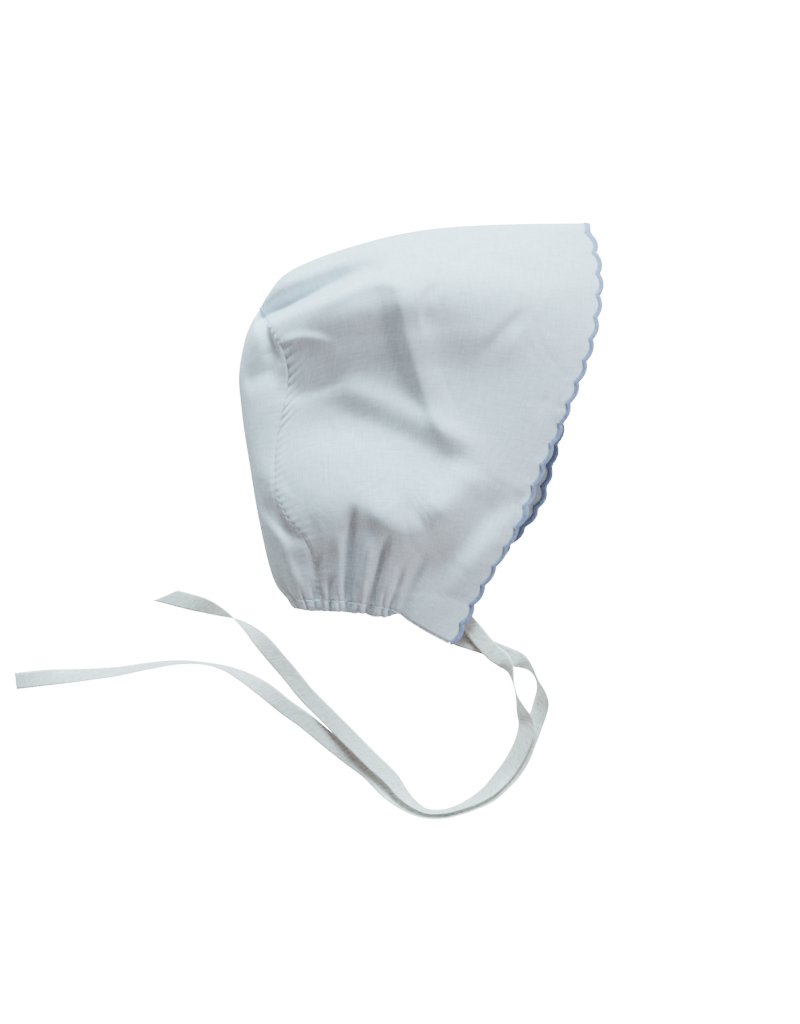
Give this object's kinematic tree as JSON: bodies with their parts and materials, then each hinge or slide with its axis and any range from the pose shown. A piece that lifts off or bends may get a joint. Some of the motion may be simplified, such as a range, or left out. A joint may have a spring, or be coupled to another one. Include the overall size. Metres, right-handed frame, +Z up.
{
  "type": "baby_bonnet",
  "caption": "Soft white cotton baby bonnet lying on its side, with a gathered neck casing, light blue scalloped face edge and loose satin ribbon ties.",
  "frame": {"origin": "on the table, under the middle of the bonnet's own length and height as it lies, ties left out", "axes": "+X from the back of the crown to the face edge, +Y from the neck to the fold over the head, +Z up from the table"},
  "size_m": [0.2473, 0.25, 0.0482],
  "materials": {
    "white_cotton": "plain woven cotton, matte and slightly crisp",
    "blue_thread": "machine satin stitch in light blue embroidery thread",
    "white_satin": "woven satin ribbon with a soft sheen"
  },
  "bodies": {
    "root": {"main_panel": "white_cotton", "back_panel": "white_cotton", "neck_casing": "white_cotton", "scallop_edging": "blue_thread", "near_tie": "white_satin", "far_tie": "white_satin"}
  },
  "joints": []
}
